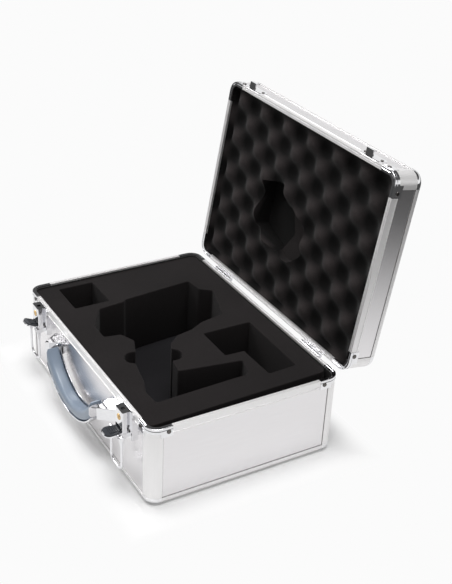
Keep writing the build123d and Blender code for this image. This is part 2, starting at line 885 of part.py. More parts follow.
def thumb_pad(x):
    z1 = lever_plate_up + thumb_pad_thickness
    pad = tongue(x, thumb_pad_margin, thumb_pad_root, lever_plate_up, z1)
    length = lever_tip_out - thumb_pad_root - lever_width / 2
    rib_half = lever_neck_width / 2 - thumb_pad_margin - thumb_rib_width
    rib_top = z1 + thumb_rib_height
    for index in range(thumb_rib_count):
        out0 = thumb_pad_root + thumb_rib_width + length * index / (thumb_rib_count - 1)
        out1 = out0 + thumb_rib_width
        pad = pad + front_block(x - rib_half, x + rib_half, out0, out1, z1, rib_top)
    return pad


# The wire is flattened to an eye at the top of each leg
def loop_eye(x):
    low = loop_pivot_up - loop_eye_length
    circles = [
        Pos(loop_y, loop_pivot_up) * Circle(loop_eye_radius),
        Pos(loop_y, low) * Circle(loop_wire_radius),
    ]
    outline = make_hull([edge for circle in circles for edge in circle.edges()])
    x0 = x - loop_eye_sheet / 2
    plane = Plane(origin=(x0, 0, 0), x_dir=(0, 1, 0), z_dir=(1, 0, 0))
    return extrude(plane * outline, loop_eye_sheet)


def latch_loop(x):
    end = lever_neck_width / 2 - lever_ear_sheet - loop_end_inset
    leg = loop_leg_spacing / 2
    top = loop_pivot_up
    low = loop_pivot_up - loop_length
    middle = (top + low) / 2
    edges = []
    for sign in [-1, 1]:
        shoulder = [(x + sign * end, top), (x + sign * leg, top), (x + sign * leg, middle)]
        points = [(a, loop_y, b) for a, b in shoulder]
        edges.extend(FilletPolyline(*points, radius=loop_corner_radius).edges())
    bottom = [(x - leg, middle), (x - leg, low), (x + leg, low), (x + leg, middle)]
    points = [(a, loop_y, b) for a, b in bottom]
    edges.extend(FilletPolyline(*points, radius=loop_bottom_radius).edges())
    start = Plane(origin=(x - end, loop_y, top), z_dir=(-1, 0, 0))
    wire = sweep(start * Circle(loop_wire_radius), path=Wire(edges))
    return wire + loop_eye(x - leg) + loop_eye(x + leg)


# A lever that stands a little up from level carries its loop's pivot with it
def lifted(shape, lift):
    return shape.rotate(Axis((0, lever_y, lever_pivot_up), (1, 0, 0)), -lift)


def loop_hung(x, lift):
    pivot = Vector(0, loop_y - lever_y, loop_pivot_up - lever_pivot_up)
    moved = pivot.rotate(Axis.X, -lift) - pivot
    return Pos(0, moved.Y, moved.Z) * latch_loop(x)


def keeper(x):
    half = keeper_width / 2
    z_mid = (keeper_bottom + keeper_top) / 2
    z_size = keeper_top - keeper_bottom
    sheet = RectangleRounded(keeper_width, z_size, z_size / 2 - seam)
    depth = lip_thickness + keeper_sheet
    plate = Pos(x, front + lip_thickness, z_mid) * Rot(90, 0, 0) * extrude(sheet, depth)
    x0 = x - half - cut_margin
    x1 = x + half + cut_margin
    plate = plate - block(x0, x1, front, front + wall, lid_bottom, lid_rim_high + seam)
    hook = keeper_hook_width / 2
    ledge_low = keeper_ledge_top - keeper_ledge_sheet
    ledge = front_block(x - hook, x + hook, 0, keeper_hook_out, ledge_low, keeper_ledge_top)
    lip_out = keeper_hook_out - keeper_lip_sheet
    lip = front_block(x - hook, x + hook, lip_out, keeper_hook_out, ledge_low, keeper_lip_top)
    plate = plate + ledge + lip
    for tool in keeper_rivets(x):
        plate = plate - tool
    return plate


def keeper_rivets(x):
    z_mid = (keeper_bottom + keeper_top) / 2
    half = keeper_rivet_spacing / 2
    places = [x - half, x + half]
    return [front_rivet(place, z_mid, keeper_sheet, latch_rivet_radius) for place in places]


latches = [("left", latch_left_x, left_lever_lift), ("right", latch_right_x, 0)]
for latch_name, latch_x, lift in latches:
    save(latch_plate(latch_x), latch_name + "_latch_plate")
    save(latch_housing(latch_x), latch_name + "_latch_housing")
    save(key_plug(latch_x), latch_name + "_key_plug")
    save(lever_pin(latch_x), latch_name + "_lever_pin")
    save(lifted(latch_lever(latch_x), lift), latch_name + "_latch_lever")
    save(lifted(thumb_pad(latch_x), lift), latch_name + "_thumb_pad")
    save(loop_hung(latch_x, lift), latch_name + "_latch_loop")
    save_lid(keeper(latch_x), latch_name + "_keeper")

save(group(latch_rivets(latch_left_x) + latch_rivets(latch_right_x)), "latch_rivets")
save_lid(group(keeper_rivets(latch_left_x) + keeper_rivets(latch_right_x)), "keeper_rivets")

# Handle: a hanging bow turning on two end pins
pivot_y = front - handle_pivot_out
grip_out_mid = (handle_inner_out + handle_outer_out) / 2
grip_depth = handle_outer_out - handle_inner_out


def bow(depth, out_mid, radius0, radius1, rounding, sweep_angle):
    low = handle_arc_up - (radius0 + radius1) / 2
    origin = (0, front - out_mid, low)
    plane = Plane(origin=origin, x_dir=(0, 1, 0), z_dir=(1, 0, 0))
    section = plane * RectangleRounded(depth, radius1 - radius0, rounding)
    axis = Axis((0, 0, handle_arc_up), (0, 1, 0))
    start = section.rotate(axis, -sweep_angle)
    return revolve(start, axis, 2 * sweep_angle)


# Squares the bow's ends off beside the brackets and bores them for the pins
def squared(shape):
    reach = handle_outer_radius
    for sign in [-1, 1]:
        x0 = sign * handle_half_span
        x1 = sign * reach
        end = block(x0, x1, front - reach, front, 0, handle_arc_up)
        bore_x = sign * handle_pin_inner_x
        bore = rod_x(bore_x, x1, pivot_y, handle_pivot_up, handle_pin_radius)
        shape = shape - end - bore
    return shape


def handle_pins():
    pins = []
    for sign in [-1, 1]:
        x0 = sign * handle_pin_inner_x
        x1 = sign * (handle_pin_outer_x - pin_fit)
        pins.append(rod_x(x0, x1, pivot_y, handle_pivot_up, handle_pin_radius))
    return group(pins)


def handle_bracket(sign):
    outline = [
        (sign * bracket_inner_x, front + lip_thickness),
        (sign * bracket_outer_x, front + lip_thickness),
        (sign * bracket_tip_x, front - bracket_out),
    ]
    body = prism(outline, bracket_low, bracket_high)
    tip = body.edges().filter_by(Axis.Z).sort_by(Axis.Y)[0]
    body = fillet(tip, bracket_round)
    body = chamfer(body.faces().sort_by(Axis.Z)[-1].edges(), bracket_round * 0.5)
    bore = handle_pin_radius + pin_fit
    x1 = sign * handle_pin_outer_x
    return body - rod_x(sign * bracket_bore_inner_x, x1, pivot_y, handle_pivot_up, bore)


def handle_grip():
    outer = handle_outer_radius - handle_shell_sheet
    rounding = handle_section_round
    return squared(bow(grip_depth, grip_out_mid, handle_inner_radius, outer, rounding, grip_sweep))


def handle_edge_band():
    inner = handle_outer_radius - handle_shell_sheet
    rounding = handle_shell_sheet * sheet_roundness
    band = bow(grip_depth, grip_out_mid, inner, handle_outer_radius, rounding, band_sweep)
    return group([band, handle_end_plate_at(-1), handle_end_plate_at(1)])


# Bright plates that close the grip's ends above the band
def handle_end_plate_at(sign):
    height = handle_end_plate_high - handle_end_plate_low
    z_mid = (handle_end_plate_high + handle_end_plate_low) / 2
    outline = RectangleRounded(grip_depth, height, handle_end_plate_round)
    x0 = sign * handle_half_span
    x1 = x0 + sign * handle_end_plate
    plane = Plane(origin=(min(x0, x1), front - grip_out_mid, z_mid), x_dir=(0, 1, 0), z_dir=(1, 0, 0))
    plate = extrude(plane * outline, handle_end_plate)
    return plate - rod_x(x0, x1, pivot_y, handle_pivot_up, handle_pin_radius)


def handle_back_strap():
    out_mid = handle_inner_out - handle_strap_gap - handle_strap_sheet / 2
    outer = handle_inner_radius + handle_strap_width
    rounding = handle_strap_sheet * sheet_roundness
    sheet = handle_strap_sheet
    return squared(bow(sheet, out_mid, handle_inner_radius, outer, rounding, grip_sweep))


save(handle_grip(), "handle_grip")
save(handle_edge_band(), "handle_edge_band")
save(handle_back_strap(), "handle_back_strap")
save(handle_pins(), "handle_pins")
save(handle_bracket(-1), "left_handle_bracket")
save(handle_bracket(1), "right_handle_bracket")
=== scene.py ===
import json
import math

import bmesh
import bpy
from mathutils import Matrix, Quaternion, Vector


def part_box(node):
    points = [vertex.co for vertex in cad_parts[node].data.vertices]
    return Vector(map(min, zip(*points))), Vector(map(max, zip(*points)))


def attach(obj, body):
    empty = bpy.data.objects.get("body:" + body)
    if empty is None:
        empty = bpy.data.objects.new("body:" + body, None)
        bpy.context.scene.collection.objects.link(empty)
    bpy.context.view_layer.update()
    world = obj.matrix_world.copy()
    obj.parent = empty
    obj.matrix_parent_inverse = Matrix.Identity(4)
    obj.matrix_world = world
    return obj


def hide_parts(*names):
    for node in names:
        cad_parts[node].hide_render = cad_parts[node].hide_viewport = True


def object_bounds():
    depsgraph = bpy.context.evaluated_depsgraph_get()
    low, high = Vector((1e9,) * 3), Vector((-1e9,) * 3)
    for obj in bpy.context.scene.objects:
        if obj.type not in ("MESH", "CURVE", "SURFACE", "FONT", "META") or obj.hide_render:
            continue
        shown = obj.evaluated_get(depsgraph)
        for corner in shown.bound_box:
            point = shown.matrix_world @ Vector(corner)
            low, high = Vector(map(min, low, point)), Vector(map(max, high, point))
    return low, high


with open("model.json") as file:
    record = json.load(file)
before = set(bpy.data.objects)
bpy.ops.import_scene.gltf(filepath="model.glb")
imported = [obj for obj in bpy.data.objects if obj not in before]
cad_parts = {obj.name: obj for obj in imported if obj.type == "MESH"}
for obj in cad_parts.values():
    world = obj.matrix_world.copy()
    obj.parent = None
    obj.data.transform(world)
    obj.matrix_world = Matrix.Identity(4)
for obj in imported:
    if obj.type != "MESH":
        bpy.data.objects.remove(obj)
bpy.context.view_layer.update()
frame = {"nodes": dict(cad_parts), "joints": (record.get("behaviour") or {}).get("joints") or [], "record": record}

nodes = frame["nodes"]
joints = {joint["name"]: joint for joint in frame["joints"]}
sceneRoot = bpy.context.scene
mm = 0.001
lidAngle = 99.0

# Camera, solved from the case's own corners in the photograph
camera = {
    "place": (0.92654, -0.50333, 0.73339),
    "back": (0.74574, -0.45728, 0.48453),
    "roll": 3.036,
    "focalPixels": 1063.07,
    "longSidePixels": 584,
    "sensor": 36.0,
    "clip": (0.05, 40.0),
}


def addCamera():
    data = bpy.data.cameras.new("photoCamera")
    data.sensor_fit = "AUTO"
    data.sensor_width = camera["sensor"]
    data.lens = camera["focalPixels"] * camera["sensor"] / camera["longSidePixels"]
    data.clip_start, data.clip_end = camera["clip"]
    cam = bpy.data.objects.new("photoCamera", data)
    sceneRoot.collection.objects.link(cam)
    look = -Vector(camera["back"])
    turn = look.to_track_quat("-Z", "Y")
    roll = Quaternion((0, 0, 1), math.radians(camera["roll"]))
    cam.rotation_mode = "QUATERNION"
    cam.rotation_quaternion = turn @ roll
    cam.location = camera["place"]
    sceneRoot.camera = cam


addCamera()
print("camera placed")


# Small helpers for node trees
def addNode(tree, kind, x=0, y=0, **settings):
    node = tree.nodes.new(kind)
    node.location = (x, y)
    for key, value in settings.items():
        setattr(node, key, value)
    return node


def setInputs(node, values):
    for key, value in values.items():
        node.inputs[key].default_value = value


def colour(r, g, b):
    return (r, g, b, 1.0)


# Shader groups that several finishes share
def newGroup(name, inputs, outputs):
    group = bpy.data.node_groups.new(name, "ShaderNodeTree")
    for label, kind, value in inputs:
        socket = group.interface.new_socket(label, in_out="INPUT", socket_type=kind)
        socket.default_value = value
    for label, kind in outputs:
        group.interface.new_socket(label, in_out="OUTPUT", socket_type=kind)
    groupIn = addNode(group, "NodeGroupInput", -900)
    groupOut = addNode(group, "NodeGroupOutput", 700)
    return group, groupIn, groupOut


# Long fine scratches along one axis
def makeBrushGroup():
    group, gIn, gOut = newGroup(
        "brushLines",
        [
            ("Vector", "NodeSocketVector", (0, 0, 0)),
            ("Stretch", "NodeSocketVector", (60, 2000, 2000)),
            ("Patch Size", "NodeSocketFloat", 14.0),
        ],
        [("Lines", "NodeSocketFloat"), ("Patches", "NodeSocketFloat")],
    )
    mul = addNode(group, "ShaderNodeVectorMath", -600, 100, operation="MULTIPLY")
    fine = addNode(group, "ShaderNodeTexNoise", -350, 100)
    setInputs(fine, {"Scale": 1.0, "Detail": 3.0, "Roughness": 0.6})
    patch = addNode(group, "ShaderNodeTexNoise", -350, -200)
    setInputs(patch, {"Detail": 4.0, "Roughness": 0.55})
    link = group.links.new
    link(gIn.outputs["Vector"], mul.inputs[0])
    link(gIn.outputs["Stretch"], mul.inputs[1])
    link(mul.outputs["Vector"], fine.inputs["Vector"])
    link(gIn.outputs["Vector"], patch.inputs["Vector"])
    link(gIn.outputs["Patch Size"], patch.inputs["Scale"])
    link(fine.outputs["Fac"], gOut.inputs["Lines"])
    link(patch.outputs["Fac"], gOut.inputs["Patches"])
    return group


# Open foam cells: pits, crumbs and slow shade changes
def makeCellGroup():
    group, gIn, gOut = newGroup(
        "foamCells",
        [
            ("Vector", "NodeSocketVector", (0, 0, 0)),
            ("Cell Size", "NodeSocketFloat", 900.0),
            ("Shade Size", "NodeSocketFloat", 9.0),
        ],
        [("Pits", "NodeSocketFloat"), ("Crumbs", "NodeSocketFloat"), ("Shade", "NodeSocketFloat")],
    )
    cells = addNode(group, "ShaderNodeTexVoronoi", -350, 200)
    crumbs = addNode(group, "ShaderNodeTexNoise", -350, -50)
    setInputs(crumbs, {"Detail": 5.0, "Roughness": 0.7})
    shade = addNode(group, "ShaderNodeTexNoise", -350, -300)
    setInputs(shade, {"Detail": 3.0, "Roughness": 0.5})
    half = addNode(group, "ShaderNodeMath", -600, -50, operation="MULTIPLY")
    half.inputs[1].default_value = 0.45
    link = group.links.new
    link(gIn.outputs["Vector"], cells.inputs["Vector"])
    link(gIn.outputs["Vector"], crumbs.inputs["Vector"])
    link(gIn.outputs["Vector"], shade.inputs["Vector"])
    link(gIn.outputs["Cell Size"], cells.inputs["Scale"])
    link(gIn.outputs["Cell Size"], half.inputs[0])
    link(half.outputs[0], crumbs.inputs["Scale"])
    link(gIn.outputs["Shade Size"], shade.inputs["Scale"])
    link(cells.outputs["Distance"], gOut.inputs["Pits"])
    link(crumbs.outputs["Fac"], gOut.inputs["Crumbs"])
    link(shade.outputs["Fac"], gOut.inputs["Shade"])
    return group


# Handling marks: a soft mask with finer streaks in it
def makeSmudgeGroup():
    group, gIn, gOut = newGroup(
        "handlingMarks",
        [
            ("Vector", "NodeSocketVector", (0, 0, 0)),
            ("Size", "NodeSocketFloat", 25.0),
            ("Low", "NodeSocketFloat", 0.1),
            ("High", "NodeSocketFloat", 0.2),
        ],
        [("Roughness", "NodeSocketFloat"), ("Mask", "NodeSocketFloat")],
    )
    marks = addNode(group, "ShaderNodeTexNoise", -500, 0)
    setInputs(marks, {"Detail": 6.0, "Roughness": 0.62, "Distortion": 0.4})
    ramp = addNode(group, "ShaderNodeMapRange", -250, 0)
    setInputs(ramp, {"From Min": 0.35, "From Max": 0.7})
    link = group.links.new
    link(gIn.outputs["Vector"], marks.inputs["Vector"])
    link(gIn.outputs["Size"], marks.inputs["Scale"])
    link(marks.outputs["Fac"], ramp.inputs["Value"])
    link(gIn.outputs["Low"], ramp.inputs["To Min"])
    link(gIn.outputs["High"], ramp.inputs["To Max"])
    link(ramp.outputs["Result"], gOut.inputs["Roughness"])
    link(marks.outputs["Fac"], gOut.inputs["Mask"])
    return group


brushLines = makeBrushGroup()
foamCells = makeCellGroup()
handlingMarks = makeSmudgeGroup()


def startMaterial(name):
    material = bpy.data.materials.new(name)
    material.use_nodes = True
    tree = material.node_tree
    tree.nodes.clear()
    out = addNode(tree, "ShaderNodeOutputMaterial", 900)
    shader = addNode(tree, "ShaderNodeBsdfPrincipled", 600)
    tree.links.new(shader.outputs["BSDF"], out.inputs["Surface"])
    coords = addNode(tree, "ShaderNodeTexCoord", -900)
    return material, tree, shader, coords.outputs["Object"]


def placeGroup(tree, group, vector, x, y, **values):
    node = addNode(tree, "ShaderNodeGroup", x, y, node_tree=group)
    tree.links.new(vector, node.inputs["Vector"])
    for key, value in values.items():
        node.inputs[key].default_value = value
    return node


def mixColours(tree, factor, dark, light, x, y):
    mix = addNode(tree, "ShaderNodeMix", x, y, data_type="RGBA")
    mix.inputs["A"].default_value = dark
    mix.inputs["B"].default_value = light
    tree.links.new(factor, mix.inputs["Factor"])
    return mix.outputs["Result"]


def spread(tree, value, low, high, toLow, toHigh, x, y):
    node = addNode(tree, "ShaderNodeMapRange", x, y)
    setInputs(node, {"From Min": low, "From Max": high, "To Min": toLow, "To Max": toHigh})
    tree.links.new(value, node.inputs["Value"])
    return node.outputs["Result"]


def addBump(tree, shader, height, strength, distance, x=300, y=-300):
    bump = addNode(tree, "ShaderNodeBump", x, y)
    bump.inputs["Strength"].default_value = strength
    bump.inputs["Distance"].default_value = distance
    tree.links.new(height, bump.inputs["Height"])
    tree.links.new(bump.outputs["Normal"], shader.inputs["Normal"])
    return bump


# Painted shade: the shadowed gap where boards meet rails is painted as a fine dark line, worked out from the frame
caseHalf = (0.165, 0.11575)
base = {"cover": 0.015, "low": 0.0089, "high": 0.0894, "floor": 0.0134}
lid = {"cover": 0.017, "low": 0.1066, "high": 0.1285, "roof": 0.013}
wide = 1.0


# Centre and half size of the part of a board that shows between its rails
def boardWindow(shell, facing):
    middle = (shell["low"] + shell["high"]) / 2
    rise = (shell["high"] - shell["low"]) / 2
    if facing == "frontBack":
        return (0, 0, middle), (caseHalf[0] - shell["cover"], wide, rise)
    if facing == "sides":
        return (0, 0, middle), (wide, caseHalf[1] - shell["cover"], rise)
    inset = shell.get("roof", shell.get("floor"))
    return (0, 0, 0), (caseHalf[0] - inset, caseHalf[1] - inset, wide)


# One near the edge of a window, nought inside it
def makeSeamGroup():
    group, gIn, gOut = newGroup(
        "seamLine",
        [
            ("Vector", "NodeSocketVector", (0, 0, 0)),
            ("Centre", "NodeSocketVector", (0, 0, 0)),
            ("Half", "NodeSocketVector", (1, 1, 1)),
            ("Width", "NodeSocketFloat", 0.0011),
        ],
        [("Line", "NodeSocketFloat"), ("Inside", "NodeSocketFloat")],
    )
    shift = addNode(group, "ShaderNodeVectorMath", -700, 0, operation="SUBTRACT")
    size = addNode(group, "ShaderNodeVectorMath", -520, 0, operation="ABSOLUTE")
    room = addNode(group, "ShaderNodeVectorMath", -340, 0, operation="SUBTRACT")
    split = addNode(group, "ShaderNodeSeparateXYZ", -160, 0)
    lowest = addNode(group, "ShaderNodeMath", 0, 0, operation="MINIMUM")
    lower = addNode(group, "ShaderNodeMath", 160, 0, operation="MINIMUM")
    line = addNode(group, "ShaderNodeMapRange", 340, 0, interpolation_type="SMOOTHSTEP")
    setInputs(line, {"From Min": 0.0, "To Min": 1.0, "To Max": 0.0})
    link = group.links.new
    link(gIn.outputs["Vector"], shift.inputs[0])
    link(gIn.outputs["Centre"], shift.inputs[1])
    link(shift.outputs[0], size.inputs[0])
    link(gIn.outputs["Half"], room.inputs[0])
    link(size.outputs[0], room.inputs[1])
    link(room.outputs[0], split.inputs[0])
    link(split.outputs["X"], lowest.inputs[0])
    link(split.outputs["Y"], lowest.inputs[1])
    link(lowest.outputs[0], lower.inputs[0])
    link(split.outputs["Z"], lower.inputs[1])
    link(lower.outputs[0], line.inputs["Value"])
    link(gIn.outputs["Width"], line.inputs["From Max"])
    link(line.outputs["Result"], gOut.inputs["Line"])
    link(lower.outputs[0], gOut.inputs["Inside"])
    return group


seamLine = makeSeamGroup()


# The place that a point of the open lid has when the lid is closed
def closedPlace(tree, vector):
    turn = addNode(tree, "ShaderNodeVectorRotate", -900, -250, rotation_type="X_AXIS")
    turn.inputs["Center"].default_value = joints["lid_hinge"]["pos_m"]
    turn.inputs["Angle"].default_value = math.radians(lidAngle)
    tree.links.new(vector, turn.inputs["Vector"])
    return turn.outputs["Vector"]


# Relief of each kind of surface, in metres
bumpHeights = {"metal": 0.0002, "plate": 0.0003, "foam": 0.0006, "plastic": 0.0002}
plateBump = 0.04

# Metals: brushed sheet, drawn extrusion and bright plate
sheet = {
    "dark": colour(0.74, 0.725, 0.735), "light": colour(0.82, 0.805, 0.815),
    "metal": 1.0, "rough": (0.22, 0.26), "bump": 0.03,
}
brushedMetals = {
    "panelSheet": {**sheet, "stretch": (40, 1800, 1800)},
    "sideSheet": {**sheet, "stretch": (1800, 40, 1800)},
    "railAluminium": {
        "dark": colour(0.86, 0.85, 0.85), "light": colour(0.91, 0.90, 0.90),
        "metal": 0.85, "rough": (0.44, 0.48), "stretch": (600, 600, 30), "bump": 0.01,
    },
    "capAluminium": {
        "dark": colour(0.86, 0.86, 0.87), "light": colour(0.93, 0.93, 0.94),
        "metal": 1.0, "rough": (0.07, 0.12), "stretch": (90, 90, 90), "bump": 0.01,
    },
}
boardLooks = {
    "baseFrontBack": ("panelSheet", base, "frontBack", False),
    "baseSides": ("sideSheet", base, "sides", False),
    "baseFloor": ("panelSheet", base, "flat", False),
    "lidFrontBack": ("panelSheet", lid, "frontBack", True),
    "lidSides": ("sideSheet", lid, "sides", True),
    "lidTop": ("panelSheet", lid, "flat", True),
}
# Painted shade: the colour of the dark line at the board edges
seamShadeColour = colour(0.030, 0.027, 0.027)


def makeBrushed(name, look, window=None, onLid=False):
    material, tree, shader, vector = startMaterial(name)
    if onLid:
        vector = closedPlace(tree, vector)
    brush = placeGroup(tree, brushLines, vector, -600, 200, **{"Stretch": look["stretch"]})
    tone = mixColours(tree, brush.outputs["Lines"], look["dark"], look["light"], -100, 200)
    # Painted shade: a fine dark line along the edge of the board's visible window stands in for the shadow in the
    # gap under the rails
    if window:
        centre, half = window
        seamShadeMask = placeGroup(tree, seamLine, vector, -600, -100, **{"Centre": centre, "Half": half})
        seamShaded = addNode(tree, "ShaderNodeMix", 150, 250, data_type="RGBA")
        seamShaded.inputs["B"].default_value = seamShadeColour
        tree.links.new(seamShadeMask.outputs["Line"], seamShaded.inputs["Factor"])
        tree.links.new(tone, seamShaded.inputs["A"])
        tone = seamShaded.outputs["Result"]
    tree.links.new(tone, shader.inputs["Base Color"])
    rough = spread(tree, brush.outputs["Patches"], 0.3, 0.7, *look["rough"], -100, -50)
    tree.links.new(rough, shader.inputs["Roughness"])
    shader.inputs["Metallic"].default_value = look["metal"]
    addBump(tree, shader, brush.outputs["Lines"], look["bump"], bumpHeights["metal"])
    return material


plated = {
    "brightChrome": {
        "dark": colour(0.70, 0.70, 0.72), "light": colour(0.90, 0.90, 0.91), "rough": (0.04, 0.12),
    },
    # The rivet heads get a near-black metal colour
    "rivetPlate": {
        "dark": colour(0.07, 0.065, 0.06), "light": colour(0.18, 0.17, 0.165), "rough": (0.10, 0.20),
    },
    "platedSteel": {
        "dark": colour(0.55, 0.55, 0.57), "light": colour(0.74, 0.74, 0.76), "rough": (0.18, 0.32),
    },
    "keyBrass": {
        "dark": colour(0.55, 0.32, 0.10), "light": colour(0.86, 0.60, 0.26), "rough": (0.14, 0.28),
    },
}


def makePlated(name):
    look = plated[name]
    material, tree, shader, vector = startMaterial(name)
    marks = placeGroup(
        tree, handlingMarks, vector, -600, 100,
        **{"Size": 60.0, "Low": look["rough"][0], "High": look["rough"][1]},
    )
    tone = mixColours(tree, marks.outputs["Mask"], look["dark"], look["light"], -100, 200)
    tree.links.new(tone, shader.inputs["Base Color"])
    tree.links.new(marks.outputs["Roughness"], shader.inputs["Roughness"])
    shader.inputs["Metallic"].default_value = 1.0
    addBump(tree, shader, marks.outputs["Mask"], plateBump, bumpHeights["plate"])
    return material


foams = {
    "foamDark": {
        "dark": colour(0.0040, 0.0033, 0.0034), "light": colour(0.0175, 0.0145, 0.0148),
        "cells": 1500.0, "bump": 0.30,
    },
    # Painted shade and highlight: the lid foam is coloured lighter than the tray foam so its crests come out
    # light, while its pits are darkened as painted shade
    "foamLid": {
        "dark": colour(0.010, 0.0082, 0.0084), "light": colour(0.046, 0.038, 0.0380), "pits": 0.06,
        "cells": 1400.0, "bump": 0.30,
    },
    # Painted shade: the floor sheet that shows in the pockets is coloured darker than the tray foam, standing in
    # for the shade on the pocket floors
    "foamSheet": {
        "dark": colour(0.0045, 0.0042, 0.0050), "light": colour(0.0145, 0.0137, 0.0158),
        "cells": 1300.0, "bump": 0.30,
    },
}


def makeFoam(name):
    look = foams[name]
    material, tree, shader, vector = startMaterial(name)
    cells = placeGroup(tree, foamCells, vector, -600, 100, **{"Cell Size": look["cells"]})
    tone = mixColours(tree, cells.outputs["Crumbs"], look["dark"], look["light"], -300, 300)
    shade = addNode(tree, "ShaderNodeMix", 0, 300, data_type="RGBA", blend_type="MULTIPLY")
    toneAndPitShade = spread(tree, cells.outputs["Shade"], 0.3, 0.7, 0.75, 1.15, -300, 0)
    shade.inputs["Factor"].default_value = 1.0
    # Painted shade: darker toward the pit bottoms and on the recess floors, read from a per-point attribute
    if "pits" in look:
        depth = addNode(tree, "ShaderNodeAttribute", -900, -400, attribute_name="pitDepth")
        pitShadeFactor = spread(tree, depth.outputs["Fac"], 0.08, 0.66, 1.0, look["pits"], -600, -400)
        both = addNode(tree, "ShaderNodeMath", -100, -100, operation="MULTIPLY")
        tree.links.new(toneAndPitShade, both.inputs[0])
        tree.links.new(pitShadeFactor, both.inputs[1])
        toneAndPitShade = both.outputs[0]
    tree.links.new(tone, shade.inputs["A"])
    tree.links.new(toneAndPitShade, shade.inputs["B"])
    tree.links.new(shade.outputs["Result"], shader.inputs["Base Color"])
    setInputs(shader, {"Roughness": 0.95, "Sheen Weight": 0.04, "Specular IOR Level": 0.15})
    addBump(tree, shader, cells.outputs["Pits"], look["bump"], bumpHeights["foam"])
    return material


plastics = {
    "softGrip": {
        "dark": colour(0.195, 0.240, 0.310), "light": colour(0.245, 0.300, 0.375),
        "rough": (0.34, 0.42), "grain": 1500.0, "bump": 0.04, "coat": 0.15,
    },
    "thumbPlastic": {
        "dark": colour(0.010, 0.012, 0.016), "light": colour(0.030, 0.034, 0.042),
        "rough": (0.30, 0.45), "grain": 1800.0, "bump": 0.10, "coat": 0.0,
    },
    "liningFilm": {
        "dark": colour(0.008, 0.008, 0.008), "light": colour(0.022, 0.021, 0.020),
        "rough": (0.55, 0.75), "grain": 1400.0, "bump": 0.20, "coat": 0.0,
    },
}


def makePlastic(name):
    look = plastics[name]
    material, tree, shader, vector = startMaterial(name)
    grain = addNode(tree, "ShaderNodeTexNoise", -500, -200)
    setInputs(grain, {"Scale": look["grain"], "Detail": 3.0, "Roughness": 0.6})
    tree.links.new(vector, grain.inputs["Vector"])
    marks = placeGroup(
        tree, handlingMarks, vector, -500, 150,
        **{"Size": 30.0, "Low": look["rough"][0], "High": look["rough"][1]},
    )
    tone = mixColours(tree, marks.outputs["Mask"], look["dark"], look["light"], -100, 250)
    tree.links.new(tone, shader.inputs["Base Color"])
    tree.links.new(marks.outputs["Roughness"], shader.inputs["Roughness"])
    shader.inputs["Coat Weight"].default_value = look["coat"]
    shader.inputs["Coat Roughness"].default_value = 0.2
    addBump(tree, shader, grain.outputs["Fac"], look["bump"], bumpHeights["plastic"])
    return material


finishes = {}
for finish in ["railAluminium", "capAluminium"]:
    finishes[finish] = makeBrushed(finish, brushedMetals[finish])
for finish, (metal, shell, facing, onLid) in boardLooks.items():
    window = boardWindow(shell, facing)
    finishes[finish] = makeBrushed(finish, brushedMetals[metal], window, onLid)
for finish in plated:
    finishes[finish] = makePlated(finish)
for finish in foams:
    finishes[finish] = makeFoam(finish)
for finish in plastics:
    finishes[finish] = makePlastic(finish)

slotFinish = {
    "rail": "railAluminium", "cap": "capAluminium", "chrome": "brightChrome",
    "rivet": "rivetPlate", "steel": "platedSteel", "lining": "liningFilm", "foam": "foamDark",
    "foam_sheet": "foamSheet", "brass": "keyBrass", "pad": "thumbPlastic", "grip": "softGrip",
}


boardSides = {
    "front": "FrontBack", "back": "FrontBack", "left": "Sides", "right": "Sides",
    "floor": "Floor", "top": "Top",
}


def finishOf(part):
    if part["material_slot"] != "panel":
        return slotFinish[part["material_slot"]]
    shell, side = part["node"].split("_")[:2]
    return shell + boardSides[side]


def dressNodes():
    for part in frame["record"]["subparts"]:
        finish = finishOf(part)
        mesh = nodes[part["node"]].data
        mesh.materials.clear()
        mesh.materials.append(finishes[finish])


dressNodes()
print("finishes made and set on the frame")


# Soft pieces: cut foam in the base, egg-crate foam in the lid
def linkPiece(name, mesh, finish, body, replaced):
    piece = bpy.data.objects.new(name, mesh)
    sceneRoot.collection.objects.link(piece)
    mesh.materials.clear()
    mesh.materials.append(finishes[finish])
    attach(piece, body)
    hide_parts(*replaced)
    return piece


# Corner points, each rounded by an arc that its two sides leave room for
def roundedLoop(points, radius, steps=5):
    loop = []
    count = len(points)
    for index, point in enumerate(points):
        here = Vector(point)
        before = Vector(points[index - 1]) - here
        after = Vector(points[(index + 1) % count]) - here
        angle = before.angle(after)
        reach = min(radius / math.tan(angle / 2), before.length * 0.45, after.length * 0.45)
        start = here + before.normalized() * reach
        end = here + after.normalized() * reach
        for step in range(steps + 1):
            t = step / steps
            loop.append((1 - t) ** 2 * start + 2 * t * (1 - t) * here + t ** 2 * end)
    return loop


# The same outline with points at an even spacing
def evenLoop(loop, spacing):
    places = []
    left = 0.0
    for index, point in enumerate(loop):
        run = loop[(index + 1) % len(loop)] - point
        while left < run.length:
            places.append(point + run.normalized() * left)
            left += spacing
        left -= run.length
    return places


# The outline with a round bite added to it, for a finger
def joinCircle(loop, centre, radius):
    middle = Vector(centre)
    area = sum(a.x * b.y - b.x * a.y for a, b in zip(loop, loop[1:] + loop[:1]))
    count = len(loop)
    inside = [(point - middle).length < radius for point in loop]
    first = next(i for i in range(count) if inside[i] and not inside[i - 1])
    run = 0
    while inside[(first + run) % count]:
        run += 1
    kept = [loop[(first + run + i) % count] for i in range(count - run)]
    start, end = kept[-1] - middle, kept[0] - middle
    begin = math.atan2(start.y, start.x)
    sweep = math.atan2(end.y, end.x) - begin
    if area > 0:
        sweep %= 2 * math.pi
    else:
        sweep = -((-sweep) % (2 * math.pi))
    steps = 24
    for step in range(1, steps):
        angle = begin + sweep * step / steps
        kept.append(middle + Vector((math.cos(angle), math.sin(angle))) * radius)
    return kept


def softened(loop, passes):
    for turn in range(passes):
        loop = [
            (loop[i - 1] + loop[i] * 2 + loop[(i + 1) % len(loop)]) / 4
            for i in range(len(loop))
        ]
    return loop


